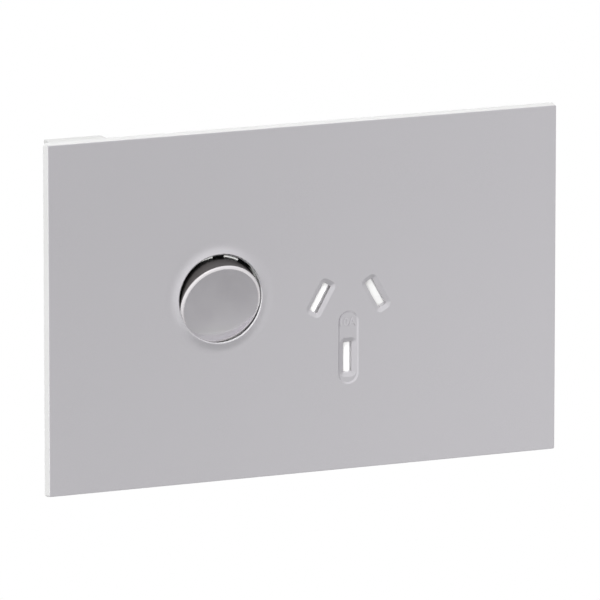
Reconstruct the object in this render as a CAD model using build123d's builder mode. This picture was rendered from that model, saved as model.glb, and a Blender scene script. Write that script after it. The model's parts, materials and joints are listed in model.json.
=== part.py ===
from build123d import *
from math import atan, cos, degrees, radians, sin, tan
import os

# Switched flush outlet for three flat pins, in millimetres.
# Origin on the wall plane, midway between the two fixing screws. X right, Y into the wall, Z up.

# Cover plate
plate_width = 125.0
plate_height = 80.0
plate_thickness = 2.0
plate_flare = 0.37  # how far each side widens towards the wall
plate_corner_r = 0.4
plate_edge_r = 0.2
stand_off = 4.0  # wall to the plate's back

# Round rocker
rocker_x = -21.0
rocker_z = 2.0
rocker_tilt = 17.0  # pressed in at the bottom: switched on
pivot_depth = 3.7  # plate front to pivot
rocker_hole_r = 10.05
rocker_relief = 0.75  # how far the hole widens towards its back
lip_width = 3.2
lip_height = 0.65
lip_edge_r = 0.3
cap_r = 9.85
cap_face = 4.7  # pivot to cap face
cap_dish = 0.35  # depth of the hollow face
cap_wall = 1.0
cap_edge_r = 0.75
cap_skirt_end = 0.15  # pivot to the skirt's lower edge
carrier_gap = 0.05
carrier_wall = 1.25
flange_r = 10.15
flange_core_r = 9.3
flange_thickness = 1.25
flange_gap = 0.1  # skirt to flange
buffer_web = 0.4  # height of the buffer below the lugs
lug_angle = 19.0  # each lug's centre, away from the top or the bottom
lug_span = 22.0
trunnion_r = 1.0
trunnion_gap = 0.1
ear_reach = 1.0  # past the cap
ear_width = 4.0
bearing_gap = 0.4
bearing_width = 1.6
bearing_pinch = 0.4  # how much narrower than the trunnion its entry slot is
rocker_clearance = 1.1  # deck window round the rocker hole

# Rocker's spring and plunger
barrel_r = 3.2
barrel_reach = 5.5  # pivot to barrel mouth
plunger_r = 1.85
plunger_reach = 9.0  # pivot to plunger tip
plunger_guided = 2.0
plunger_nose_r = 1.75
barrel_gap = 0.1
rocker_spring_wire = 0.45
rocker_spring_turns = 4

# Switch contacts
blade_thickness = 0.8
blade_width = 5.0
blade_flat = 1.2  # half length of the blade's flat middle
blade_reach = 7.0
blade_bend = 20.0
blade_swing = 12.0
notch_depth = 0.35
notch_width = 1.0
blade_gap = 0.15  # plunger to blade, at mid travel
knife_r = 0.1
knife_gap = 0.05
strip_thickness = 0.8
tip_r = 1.5
tip_thickness = 0.6
tip_place = 5.9  # along the blade, from its middle
tip_gap = 0.2
cradle_depth = 1.3  # knife edge to cradle plate
cradle_height = 5.5
cradle_width = 7.4
cradle_cheek = 0.7
link_height = 4.0

# Socket
socket_x = 10.77
socket_z = -3.95
pin_circle_r = 7.92
pin_lean = 30.0
earth_drop = 10.31
slot_width = 2.1
slot_length = 7.1
slot_corner_r = 0.3
funnel_width = 1.0
funnel_depth = 0.45
earth_pad_width = 5.05
earth_pad_top = 0.5  # socket centre up to the pad's top end
earth_pad_bottom = 16.45
earth_pad_depth = 0.3
earth_pad_slope = 0.4  # width of the recess's slanted side

# Shutter
shutter_height = 2.8
shutter_plate = 1.3
shutter_margin = 2.0
shutter_travel = 3.2
shutter_window_gap = 0.3
slide_gap = 0.15
ramp_margin = 0.45
ramp_nose = 0.4
shutter_rail = 1.5
shutter_spring_r = 1.1
shutter_spring_wire = 0.35
shutter_spring_length = 8.0
shutter_spring_turns = 4
spring_stop = 1.4
spring_stop_width = 4.4

# Base frame
frame_inset = 2.6
frame_wall = 1.6
frame_corner_r = 2.0
web_thickness = 1.6
deck_thickness = 1.6
deck_margin = 2.0
screw_spacing = 84.0
screw_slot_width = 4.2
screw_slot_length = 7.0
screw_boss_wall = 2.6
screw_boss_height = 2.6
rib_thickness = 1.2
rib_height = 3.4
lug_start = 1.5  # plate's left side to the lug
lug_length = 14.9
lug_rise = 0.28  # above the plate's front outline
lug_depth = 4.8
lug_end_r = 1.6
hook_length = 7.0
hook_thickness = 1.0
hook_reach = 2.5
hook_gap = 0.3
snap_width = 8.0
snap_thickness = 1.2
snap_place = 13.0
snap_barb = 1.1
snap_barb_height = 0.8
snap_reach = 2.1
snap_gap = 0.5

# Rear housing
housing_left = -34.0
housing_right = 29.0
housing_bottom = -25.0
housing_top = 15.5
housing_depth = 25.3
housing_wall = 1.6
housing_floor = 1.8
housing_corner_r = 2.0
housing_edge_r = 1.2
housing_screw_x = 26.0  # either side of the housing's middle
housing_tab_r = 3.4
housing_tab_out = 2.9  # housing wall to screw centre
housing_tab_thickness = 3.5
housing_screw_r = 1.2
housing_screw_length = 6.6
housing_screw_head_r = 2.3
housing_screw_head = 1.6
housing_screw_recess = 3.2
housing_screw_dome = 0.9
screw_hole_gap = 0.15

# Socket contacts and terminals
leaf_thickness = 0.6
leaf_width = 6.0
leaf_mouth = 1.5
leaf_pinch = 0.65
leaf_root = 1.2
leaf_pinch_depth = 3.3  # deck to the pinch
leaf_pinch_length = 1.0
leaf_clear = 0.5  # deck to the leaves
terminal_width = 8.0
terminal_height = 8.5
terminal_depth = 9.0
terminal_seat_gap = 0.1
wire_r = 2.1
wire_hole_gap = 0.5
wire_depth = 3.4  # terminal's front to the tunnel's axis
terminal_screw_r = 1.6
terminal_screw_head_r = 2.6
terminal_screw_head = 1.2
terminal_screw_lift = 0.2
terminal_screw_chamfer = 0.3
screw_slot = 0.7
terminal_inset = 8.5  # housing's side to the nearest terminal's middle
loop_terminal_step = 11.5  # active terminal to the loop terminal
pocket_wall = 1.2
pocket_height = 5.0

# Levels along the depth
front = -stand_off - plate_thickness
plate_back = -stand_off
pivot = front + pivot_depth
shutter_front = plate_back + slide_gap
shutter_back = shutter_front + shutter_height
deck_front = shutter_back + slide_gap
deck_back = deck_front + deck_thickness
housing_back = deck_back + housing_depth
floor_front = housing_back - housing_floor
terminal_front = floor_front - terminal_depth
wire_y = terminal_front + wire_depth
blade_pivot = pivot + plunger_reach + blade_gap + blade_thickness - notch_depth
strip_front = blade_pivot + cradle_depth
strip_back = strip_front + strip_thickness
tail_front = terminal_front - strip_thickness

# Places across the plate
housing_x = (housing_left + housing_right) / 2
housing_z = (housing_bottom + housing_top) / 2
housing_width = housing_right - housing_left
housing_height = housing_top - housing_bottom
active_terminal_x = housing_left + terminal_inset
loop_terminal_x = active_terminal_x + loop_terminal_step
neutral_terminal_x = housing_right - terminal_inset
terminal_top_z = housing_top - housing_wall - terminal_seat_gap - terminal_height / 2
terminal_bottom_z = housing_bottom + housing_wall + terminal_seat_gap + terminal_height / 2
pin_x = pin_circle_r * cos(radians(pin_lean))
pin_z = pin_circle_r * sin(radians(pin_lean))
active_slot = (socket_x - pin_x, socket_z + pin_z, pin_lean)
neutral_slot = (socket_x + pin_x, socket_z + pin_z, -pin_lean)
earth_slot = (socket_x, socket_z - earth_drop, 0)
slots = (active_slot, neutral_slot, earth_slot)
terminals = {
    "active_terminal": (active_terminal_x, terminal_top_z, 1),
    "loop_terminal": (loop_terminal_x, terminal_top_z, 1),
    "neutral_terminal": (neutral_terminal_x, terminal_top_z, 1),
    "earth_terminal": (socket_x, terminal_bottom_z, -1),
}
housing_screws_at = [
    (housing_x + side * housing_screw_x, z)
    for side in (-1, 1)
    for z in (housing_top + housing_tab_out, housing_bottom - housing_tab_out)
]
deck_left = housing_left - deck_margin
deck_right = housing_right + deck_margin + housing_tab_r
deck_top = housing_top + housing_tab_out + housing_tab_r + deck_margin / 2
deck_bottom = housing_bottom - housing_tab_out - housing_tab_r - deck_margin / 2
frame_width = plate_width - 2 * frame_inset
frame_height = plate_height - 2 * frame_inset


def facing_front(y):
    """Sketch plane across the outlet at depth y, with x right, y up and the normal to the front."""
    return Plane(origin=(0, y, 0), x_dir=(1, 0, 0), z_dir=(0, -1, 0))


def across_slot(slot, y):
    """Sketch plane on a pin slot, with x across the slot and y along it."""
    x, z, lean = slot
    across = (cos(radians(lean)), 0, -sin(radians(lean)))
    return Plane(origin=(x, y, z), x_dir=across, z_dir=(0, -1, 0))


def through_slot(slot):
    """Section plane of a pin slot, with x across the slot and y into the wall."""
    x, z, lean = slot
    across = (cos(radians(lean)), 0, -sin(radians(lean)))
    along = (sin(radians(lean)), 0, cos(radians(lean)))
    return Plane(origin=(x, 0, z), x_dir=across, z_dir=along)


def rocker_level(height):
    """Sketch plane across the tilted rocker, at this height above its pivot."""
    tilt = radians(rocker_tilt)
    outward = (0, -cos(tilt), -sin(tilt))
    pivot_plane = Plane(origin=(rocker_x, pivot, rocker_z), x_dir=(1, 0, 0), z_dir=outward)
    return pivot_plane.offset(height)


def write(piece, name):
    """Label one finished sub-part and write it to its own file."""
    piece.label = name
    export_step(piece, f"parts/{name}.step")


os.makedirs("parts", exist_ok=True)


# Cover plate: white moulding with drafted sides, rocker hole, pin slots and clips
with BuildPart() as cover_plate:
    with BuildSketch(facing_front(plate_back)):
        RectangleRounded(
            plate_width + 2 * plate_flare, plate_height + 2 * plate_flare, plate_corner_r + plate_flare
        )
    extrude(amount=plate_thickness, taper=degrees(atan(plate_flare / plate_thickness)))
    fillet(cover_plate.edges().group_by(Axis.Y)[0], radius=plate_edge_r)

    # Rocker hole in a soft lip, wider at its back so that the tilting cap clears it
    lip_r = rocker_hole_r + lip_width
    with BuildSketch(facing_front(plate_back)):
        with Locations((rocker_x, rocker_z)):
            Circle(lip_r)
    extrude(amount=plate_thickness, mode=Mode.SUBTRACT)
    with BuildSketch(Plane(origin=(rocker_x, front, rocker_z), x_dir=(1, 0, 0), z_dir=(0, 0, 1))):
        with BuildLine():
            crest = (rocker_hole_r + lip_edge_r, -lip_height)
            Polyline(
                (lip_r, 0),
                (lip_r, plate_thickness),
                (rocker_hole_r + rocker_relief, plate_thickness),
                (rocker_hole_r, lip_edge_r - lip_height),
            )
            CenterArc((rocker_hole_r + lip_edge_r, lip_edge_r - lip_height), lip_edge_r, 180, 90)
            TangentArc((lip_r, 0), crest, tangent=(-1, 0))
        make_face()
    revolve(axis=Axis((rocker_x, front, rocker_z), (0, 1, 0)))

    # Shallow earth recess with slanted sides, then a slot in a shallow funnel for each pin
    pad_length = earth_pad_bottom + earth_pad_top
    pad_z = socket_z + earth_pad_top - pad_length / 2
    with BuildSketch(facing_front(front)):
        with Locations((socket_x, pad_z)):
            SlotOverall(pad_length, earth_pad_width, rotation=90)
    with BuildSketch(facing_front(front + earth_pad_depth)):
        with Locations((socket_x, pad_z)):
            SlotOverall(pad_length - 2 * earth_pad_slope, earth_pad_width - 2 * earth_pad_slope, rotation=90)
    loft(mode=Mode.SUBTRACT)
    for slot in slots:
        mouth = front + (earth_pad_depth if slot is earth_slot else 0)
        with BuildSketch(across_slot(slot, plate_back)):
            RectangleRounded(slot_width, slot_length, slot_corner_r)
        extrude(amount=plate_thickness, mode=Mode.SUBTRACT)
        with BuildSketch(across_slot(slot, mouth)):
            RectangleRounded(
                slot_width + 2 * funnel_width, slot_length + 2 * funnel_width, slot_corner_r + funnel_width
            )
        with BuildSketch(across_slot(slot, mouth + funnel_depth)):
            RectangleRounded(slot_width, slot_length, slot_corner_r)
        loft(mode=Mode.SUBTRACT)

    # Hook tabs at the left, behind the frame's lugs
    hook_x = -plate_width / 2 + lug_start + lug_length / 2
    hook_z = plate_height / 2 - lug_depth / 2
    with BuildSketch(facing_front(plate_back + hook_reach)):
        with Locations((hook_x, hook_z), (hook_x, -hook_z)):
            Rectangle(hook_length, hook_thickness)
    extrude(amount=hook_reach)

    # Snap arms at the right, each with a barb that catches in the frame's rim
    snap_x = frame_width / 2 - frame_wall - snap_gap
    with BuildSketch(facing_front(plate_back + snap_reach)):
        with Locations((snap_x, snap_place), (snap_x, -snap_place)):
            Rectangle(snap_thickness, snap_width, align=(Align.MAX, Align.CENTER))
    extrude(amount=snap_reach)
    with BuildSketch(facing_front(plate_back + snap_reach)):
        with Locations((snap_x, snap_place), (snap_x, -snap_place)):
            Rectangle(snap_barb, snap_width, align=(Align.MIN, Align.CENTER))
    extrude(amount=snap_barb_height)
write(cover_plate.part, "cover_plate")


# Base frame: flange on the wall, rim behind the plate, sunk deck that carries the works
with BuildPart() as base_frame:
    with BuildSketch(facing_front(0)):
        RectangleRounded(frame_width, frame_height, frame_corner_r)
        with Locations(((deck_left + deck_right) / 2, (deck_bottom + deck_top) / 2)):
            Rectangle(deck_right - deck_left, deck_top - deck_bottom, mode=Mode.SUBTRACT)
    extrude(amount=web_thickness)
    with BuildSketch(facing_front(0)):
        RectangleRounded(frame_width, frame_height, frame_corner_r)
        Rectangle(frame_width - 2 * frame_wall, frame_height - 2 * frame_wall, mode=Mode.SUBTRACT)
    extrude(amount=stand_off)
    with BuildSketch(facing_front(deck_back)):
        with Locations(((deck_left + deck_right) / 2, (deck_bottom + deck_top) / 2)):
            Rectangle(deck_right - deck_left, deck_top - deck_bottom)
    extrude(amount=deck_thickness)

    # Lugs at the left corners, with a pocket for each hook tab
    lug_x = -plate_width / 2 + lug_start
    lug_z = plate_height / 2 + lug_rise
    with BuildSketch(facing_front(0)):
        for side in (-1, 1):
            with BuildLine():
                Polyline(
                    (lug_x, side * (lug_z - lug_depth)),
                    (lug_x, side * lug_z),
                    (lug_x + lug_length - lug_end_r, side * lug_z),
                )
                RadiusArc(
                    (lug_x + lug_length - lug_end_r, side * lug_z),
                    (lug_x + lug_length, side * (lug_z - lug_end_r)),
                    side * lug_end_r,
                )
                Polyline(
                    (lug_x + lug_length, side * (lug_z - lug_end_r)),
                    (lug_x + lug_length, side * (lug_z - lug_depth)),
                    (lug_x, side * (lug_z - lug_depth)),
                )
            make_face()
    extrude(amount=stand_off)
    with BuildSketch(facing_front(plate_back + hook_reach + hook_gap)):
        with Locations((hook_x, hook_z), (hook_x, -hook_z)):
            Rectangle(hook_length + 2 * hook_gap, hook_thickness + 2 * hook_gap)
    extrude(amount=hook_reach + hook_gap, mode=Mode.SUBTRACT)

    # Windows in the rim for the snap barbs
    with BuildSketch(facing_front(plate_back + snap_reach + hook_gap)):
        with Locations((frame_width / 2, snap_place), (frame_width / 2, -snap_place)):
            Rectangle(2 * frame_wall, snap_width + 2 * hook_gap)
    extrude(amount=snap_barb_height + 2 * hook_gap, mode=Mode.SUBTRACT)

    # Ribs between the deck and the rim
    rib_out = frame_width / 2 - frame_wall / 2
    with BuildSketch(facing_front(0)):
        for z in (deck_bottom + rib_thickness / 2, deck_top - rib_thickness / 2):
            with Locations((0, z)):
                Rectangle(2 * rib_out, rib_thickness)
        for x in (deck_left + rib_thickness / 2, deck_right - rib_thickness / 2):
            with Locations((x, 0)):
                Rectangle(rib_thickness, frame_height - frame_wall)
    extrude(amount=rib_height)

    # Fixing screw bosses with slotted holes
    screw_x = screw_spacing / 2
    with BuildSketch(facing_front(0)):
        with Locations((-screw_x, 0), (screw_x, 0)):
            SlotOverall(screw_slot_length + 2 * screw_boss_wall, screw_slot_width + 2 * screw_boss_wall)
    extrude(amount=screw_boss_height)
    with BuildSketch(facing_front(0)):
        with Locations((-screw_x, 0), (screw_x, 0)):
            SlotOverall(screw_slot_length, screw_slot_width)
    extrude(amount=rib_height, mode=Mode.SUBTRACT)

    # Bosses for the housing's screws
    with BuildSketch(facing_front(deck_back)):
        with Locations(housing_screws_at):
            Circle(housing_tab_r)
    extrude(amount=deck_back - plate_back - hook_gap)
    with BuildSketch(facing_front(deck_back)):
        with Locations(housing_screws_at):
            Circle(housing_screw_r + screw_hole_gap)
    extrude(amount=housing_screw_length - housing_tab_thickness + hook_gap, mode=Mode.SUBTRACT)

    # Round window under the rocker, with a snap-in bearing at each side
    window_r = rocker_hole_r + rocker_clearance
    with BuildSketch(facing_front(deck_back)):
        with Locations((rocker_x, rocker_z)):
            Circle(window_r)
    extrude(amount=deck_thickness, mode=Mode.SUBTRACT)
    bearing_near = cap_r + ear_reach + bearing_gap
    bearing_x = bearing_near + bearing_width / 2
    bearing_height = 2 * (trunnion_r + trunnion_gap) + 2 * bearing_width
    with BuildSketch(facing_front(deck_back)):
        with Locations((rocker_x - bearing_x, rocker_z), (rocker_x + bearing_x, rocker_z)):
            Rectangle(bearing_width, bearing_height)
    extrude(amount=deck_back - shutter_front)
    with BuildSketch(Plane.YZ.offset(rocker_x)):
        with Locations((pivot, rocker_z)):
            Circle(trunnion_r + trunnion_gap)
            Rectangle(pivot_depth, 2 * trunnion_r - bearing_pinch, align=(Align.MAX, Align.CENTER))
    extrude(amount=bearing_near + 2 * bearing_width, both=True, mode=Mode.SUBTRACT)

    # Pin slots through the deck
    for slot in slots:
        with BuildSketch(across_slot(slot, deck_back)):
            Rectangle(slot_width + 2 * shutter_window_gap, slot_length + 2 * shutter_window_gap)
        extrude(amount=deck_thickness, mode=Mode.SUBTRACT)

    # Rails above and below the shutter, and the stop of its spring
    shutter_left = active_slot[0] - shutter_margin - slot_length / 2 - shutter_travel / 2
    shutter_right = neutral_slot[0] + shutter_margin + slot_length / 2
    shutter_top = active_slot[1] + shutter_margin + slot_length / 2
    shutter_bottom = earth_slot[1] - shutter_margin - slot_length / 2
    rail_length = shutter_right - shutter_left + shutter_travel
    with BuildSketch(facing_front(deck_back)):
        with Locations((shutter_left, shutter_top + slide_gap)):
            Rectangle(rail_length, shutter_rail, align=(Align.MIN, Align.MIN))
        with Locations((shutter_left, shutter_bottom - slide_gap)):
            Rectangle(rail_length, shutter_rail, align=(Align.MIN, Align.MAX))
        with Locations((shutter_right + shutter_spring_length, socket_z)):
            Rectangle(spring_stop, spring_stop_width, align=(Align.MIN, Align.CENTER))
    extrude(amount=deck_back - shutter_front)
write(base_frame.part, "base_frame")


# Rear housing: open box behind the deck, with terminal pockets, posts and screw tabs
with BuildPart() as rear_housing:
    with BuildSketch(facing_front(housing_back)):
        with Locations((housing_x, housing_z)):
            RectangleRounded(housing_width, housing_height, housing_corner_r)
    extrude(amount=housing_depth)
    fillet(rear_housing.edges().group_by(Axis.Y)[-1], radius=housing_edge_r)
    with BuildSketch(facing_front(floor_front)):
        with Locations((housing_x, housing_z)):
            Rectangle(housing_width - 2 * housing_wall, housing_height - 2 * housing_wall)
    extrude(amount=housing_depth - housing_floor, mode=Mode.SUBTRACT)

    # Pockets that seat the terminals against the floor
    pocket_width = terminal_width + 2 * terminal_seat_gap
    pocket_length = terminal_height + 2 * terminal_seat_gap
    with BuildSketch(facing_front(floor_front)):
        for x, z, side in terminals.values():
            with Locations((x, z)):
                Rectangle(pocket_width + 2 * pocket_wall, pocket_length + 2 * pocket_wall)
                Rectangle(pocket_width, pocket_length, mode=Mode.SUBTRACT)
        with Locations((housing_x, housing_z)):
            Rectangle(housing_width - housing_wall, housing_height - housing_wall, mode=Mode.INTERSECT)
    extrude(amount=pocket_height)

    # Post behind the contact cradle
    with BuildSketch(facing_front(floor_front)):
        with Locations((rocker_x, rocker_z)):
            Rectangle(cradle_width, pocket_wall)
            Rectangle(pocket_wall, cradle_height)
    extrude(amount=floor_front - strip_back)

    # Wire entries and screw openings of the terminals
    for x, z, side in terminals.values():
        with BuildSketch(Plane(origin=(x, wire_y, z), x_dir=(1, 0, 0), z_dir=(0, 0, side))):
            Circle(wire_r + wire_hole_gap)
        extrude(amount=terminal_height, mode=Mode.SUBTRACT)
    with BuildSketch(facing_front(housing_back)):
        for x, z, side in terminals.values():
            with Locations((x, z)):
                Circle(terminal_screw_head_r + wire_hole_gap)
    extrude(amount=housing_floor, mode=Mode.SUBTRACT)

    # Screw tabs against the deck
    with BuildSketch(facing_front(deck_back + housing_tab_thickness)):
        for x, z in housing_screws_at:
            with Locations((x, z)):
                Circle(housing_tab_r)
            with Locations((x, (z + (housing_top if z > 0 else housing_bottom)) / 2)):
                Rectangle(2 * housing_tab_r, housing_tab_out)
        with Locations(housing_screws_at):
            Circle(housing_screw_r + screw_hole_gap, mode=Mode.SUBTRACT)
    extrude(amount=housing_tab_thickness)
write(rear_housing.part, "rear_housing")


# Housing screws: four, from the back into the frame's bosses
with BuildPart() as housing_screws:
    screw_seat = deck_back + housing_tab_thickness
    with BuildSketch(facing_front(screw_seat)):
        with Locations(housing_screws_at):
            Circle(housing_screw_r)
    extrude(amount=housing_screw_length)
    with BuildSketch(facing_front(screw_seat)):
        with Locations(housing_screws_at):
            Circle(housing_screw_head_r)
    extrude(amount=-housing_screw_head)
    fillet(housing_screws.edges().group_by(Axis.Y)[-1], radius=housing_screw_dome)
    with BuildSketch(facing_front(screw_seat + housing_screw_head)):
        with Locations(housing_screws_at):
            Rectangle(housing_screw_recess, screw_slot)
            Rectangle(screw_slot, housing_screw_recess)
    extrude(amount=housing_screw_head / 2, mode=Mode.SUBTRACT)
write(housing_screws.part, "housing_screws")


# Rocker cap: chromed cup with a rounded edge and a slightly hollow face
with BuildPart() as rocker_cap:
    with BuildSketch(rocker_level(cap_skirt_end)):
        Circle(cap_r)
    extrude(amount=cap_face - cap_skirt_end)
    cap_rim = rocker_cap.faces().sort_by(Axis(rocker_level(0).origin, rocker_level(0).z_dir))[-1].edges()
    fillet(cap_rim, radius=cap_edge_r)
    dish_r = ((cap_r - cap_edge_r) ** 2 + cap_dish**2) / (2 * cap_dish)
    with Locations(rocker_level(cap_face - cap_dish + dish_r)):
        Sphere(dish_r, rotation=(90, 0, 0), mode=Mode.SUBTRACT)
    with BuildSketch(rocker_level(cap_skirt_end)):
        Circle(cap_r - cap_wall)
    extrude(amount=cap_face - cap_skirt_end - cap_wall, mode=Mode.SUBTRACT)
write(rocker_cap.part, "rocker_cap")


# Rocker carrier: crown inside the cap, flange with lugs, trunnions and the spring barrel
flange_top = cap_skirt_end - flange_gap
flange_bottom = flange_top - flange_thickness
crown_r = cap_r - cap_wall - carrier_gap
crown_top = cap_face - cap_wall
bore_end = crown_top - carrier_wall
lug_centres = [90 + turn + side * lug_angle for turn in (0, 180) for side in (-1, 1)]
with BuildPart() as rocker_carrier:
    with BuildSketch(rocker_level(flange_bottom)):
        Circle(crown_r)
    extrude(amount=crown_top - flange_bottom)
    with BuildSketch(rocker_level(flange_bottom)):
        Circle(flange_core_r)
    extrude(amount=flange_thickness)
    with BuildSketch(rocker_level(flange_bottom)):
        Circle(crown_r - carrier_wall)
    extrude(amount=bore_end - flange_bottom, mode=Mode.SUBTRACT)

    # Lugs that key the buffers and show in the gap
    with BuildSketch(rocker_level(flange_bottom + buffer_web)):
        for centre in lug_centres:
            with BuildLine():
                CenterArc((0, 0), flange_r, centre - lug_span / 2, lug_span)
                PolarLine((0, 0), flange_r, centre - lug_span / 2)
                PolarLine((0, 0), flange_r, centre + lug_span / 2)
            make_face()
        Circle(flange_core_r - carrier_wall / 2, mode=Mode.SUBTRACT)
    extrude(amount=flange_thickness - buffer_web)

    # Ears and trunnions on the pivot line
    ear_out = cap_r + ear_reach
    with BuildSketch(rocker_level(flange_bottom)):
        Rectangle(2 * ear_out, ear_width)
        Circle(crown_r - carrier_wall / 2, mode=Mode.SUBTRACT)
    extrude(amount=flange_thickness)
    trunnion_length = bearing_near + bearing_width + trunnion_gap - cap_r
    for side in (-1, 1):
        with BuildSketch(Plane.YZ.offset(rocker_x + side * (cap_r + carrier_gap))):
            with Locations((pivot, rocker_z)):
                Circle(trunnion_r)
        extrude(amount=side * trunnion_length)

    # Barrel for the spring and plunger, on two webs
    with BuildSketch(rocker_level(-barrel_reach)):
        Circle(barrel_r)
    extrude(amount=barrel_reach + bore_end)
    with BuildSketch(rocker_level(flange_bottom)):
        Rectangle(2 * crown_r - carrier_wall, carrier_wall)
        Rectangle(carrier_wall, 2 * crown_r - carrier_wall)
    extrude(amount=bore_end - flange_bottom)
    with BuildSketch(rocker_level(-barrel_reach)):
        Circle(plunger_r + barrel_gap)
    extrude(amount=barrel_reach + bore_end, mode=Mode.SUBTRACT)
write(rocker_carrier.part, "rocker_carrier")


# Rocker buffers: two soft half rings round the flange, notched for the lugs
with BuildPart() as rocker_buffers:
    with BuildSketch(rocker_level(flange_bottom)):
        Circle(flange_r)
        Circle(flange_core_r, mode=Mode.SUBTRACT)
        Rectangle(2 * ear_out, ear_width, mode=Mode.SUBTRACT)
    extrude(amount=flange_thickness)
    with BuildSketch(rocker_level(flange_bottom + buffer_web)):
        for centre in lug_centres:
            with BuildLine():
                CenterArc((0, 0), 2 * flange_r, centre - lug_span / 2, lug_span)
                PolarLine((0, 0), 2 * flange_r, centre - lug_span / 2)
                PolarLine((0, 0), 2 * flange_r, centre + lug_span / 2)
            make_face()
    extrude(amount=flange_thickness, mode=Mode.SUBTRACT)
write(rocker_buffers.part, "rocker_buffers")


# Rocker plunger: guided in the barrel, with a round nose on the blade
plunger_back = plunger_guided - barrel_reach
with BuildPart() as rocker_plunger:
    with BuildSketch(rocker_level(-plunger_reach)):
        Circle(plunger_r)
    extrude(amount=plunger_reach + plunger_back)
    plunger_axis = Axis(rocker_level(0).origin, rocker_level(0).z_dir)
    fillet(rocker_plunger.edges().sort_by(plunger_axis)[0], radius=plunger_nose_r)
write(rocker_plunger.part, "rocker_plunger")


# Rocker spring: from the plunger to the end of the barrel's bore
spring_length = bore_end - plunger_back - 2 * rocker_spring_wire
with BuildPart() as rocker_spring:
    with BuildLine() as rocker_coil:
        Helix(
            spring_length / rocker_spring_turns,
            spring_length,
            plunger_r - rocker_spring_wire,
            center=rocker_level(plunger_back + rocker_spring_wire).origin,
            direction=rocker_level(0).z_dir,
        )
    with BuildSketch(Plane(origin=rocker_coil.line @ 0, z_dir=rocker_coil.line % 0)):
        Circle(rocker_spring_wire / 2)
    sweep(path=rocker_coil.line, is_frenet=True)
write(rocker_spring.part, "rocker_spring")


# Moving contact: bent blade that rocks on a knife edge, here pressed in at its top
rest_turn = radians(-blade_swing / 2)
blade_section = Plane(
    origin=(rocker_x, blade_pivot, rocker_z),
    x_dir=(0, cos(rest_turn), sin(rest_turn)),
    z_dir=(1, 0, 0),
)
bend_slope = tan(radians(blade_bend))
arm_rise = (blade_reach - blade_flat) * bend_slope
blade_back = notch_depth
arm_thickness = blade_thickness / cos(radians(blade_bend))
with BuildPart() as moving_contact:
    with BuildSketch(blade_section):
        with BuildLine():
            Polyline(
                (0, 0),
                (blade_back, notch_width / 2),
                (blade_back, blade_flat),
                (blade_back - arm_rise, blade_reach),
                (blade_back - arm_rise - arm_thickness, blade_reach),
                (blade_back - blade_thickness, blade_flat),
                (blade_back - blade_thickness, -blade_flat),
                (blade_back - arm_rise - arm_thickness, -blade_reach),
                (blade_back - arm_rise, -blade_reach),
                (blade_back, -blade_flat),
                (blade_back, -notch_width / 2),
                close=True,
            )
        make_face()
        Circle(knife_r + knife_gap, mode=Mode.SUBTRACT)
    extrude(amount=blade_width / 2, both=True)
write(moving_contact.part, "moving_contact")


# Moving contact tip: rivet head on the back of the blade's upper arm
tip_depth = blade_back - (tip_place - blade_flat) * bend_slope
tip_origin = blade_section.from_local_coords(Vector(tip_depth, tip_place, 0))
tip_turn = rest_turn + radians(blade_bend)
tip_plane = Plane(
    origin=tip_origin, x_dir=(1, 0, 0), z_dir=(0, cos(tip_turn), sin(tip_turn))
)
with BuildPart() as moving_contact_tip:
    with BuildSketch(tip_plane):
        Circle(tip_r)
    extrude(amount=tip_thickness)
    tip_axis = Axis(tip_plane.origin, tip_plane.z_dir)
    chamfer(moving_contact_tip.edges().sort_by(tip_axis)[-1], length=tip_thickness / 2)
write(moving_contact_tip.part, "moving_contact_tip")


# Fixed contact tip: rivet head that faces the moving one
tip_centre = tip_plane.offset(tip_thickness + tip_gap).origin
with BuildPart() as fixed_contact_tip:
    with BuildSketch(facing_front(strip_front)):
        with Locations((rocker_x, tip_centre.Z)):
            Circle(tip_r)
    extrude(amount=strip_front - tip_centre.Y - tip_r * sin(tip_turn))
write(fixed_contact_tip.part, "fixed_contact_tip")


# Fixed contact: strip bent over from the switch to the active terminal
fixed_bottom = tip_centre.Z - tip_r - strip_thickness / 2
fixed_top = terminal_top_z + terminal_height / 2 - strip_thickness
with BuildPart() as fixed_contact:
    with BuildSketch(Plane.YZ.offset(active_terminal_x - terminal_width / 4)):
        with BuildLine():
            Polyline(
                (strip_front, fixed_bottom),
                (strip_front, fixed_top),
                (terminal_front, fixed_top),
                (terminal_front, fixed_bottom),
                (tail_front, fixed_bottom),
                (tail_front, fixed_top - strip_thickness),
                (strip_back, fixed_top - strip_thickness),
                (strip_back, fixed_bottom),
                close=True,
            )
        make_face()
    extrude(amount=rocker_x + tip_r + strip_thickness - active_terminal_x + terminal_width / 4)
write(fixed_contact.part, "fixed_contact")


# Contact cradle: knife edge and cheeks on a plate, with a link towards the active pin
riser_x = active_slot[0] - slot_length / 2 - shutter_travel - 2 * strip_thickness
with BuildPart() as contact_cradle:
    with BuildSketch(facing_front(strip_back)):
        with Locations((rocker_x, rocker_z)):
            Rectangle(cradle_width, cradle_height)
        with Locations((rocker_x, rocker_z)):
            Rectangle(riser_x - rocker_x, link_height, align=(Align.MIN, Align.CENTER))
    extrude(amount=strip_thickness)
    with BuildSketch(Plane.YZ.offset(rocker_x)):
        with BuildLine():
            Polyline(
                (blade_pivot, rocker_z),
                (strip_front, rocker_z + notch_width / 2),
                (strip_front, rocker_z - notch_width / 2),
                close=True,
            )
        make_face()
        with Locations((blade_pivot, rocker_z)):
            Circle(knife_r)
    extrude(amount=blade_width / 2, both=True)
    cheek_x = cradle_width / 2 - cradle_cheek / 2
    with BuildSketch(facing_front(strip_front)):
        with Locations((rocker_x - cheek_x, rocker_z), (rocker_x + cheek_x, rocker_z)):
            Rectangle(cradle_cheek, 2 * blade_flat)
    extrude(amount=cradle_depth + notch_depth)
write(contact_cradle.part, "contact_cradle")


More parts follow.
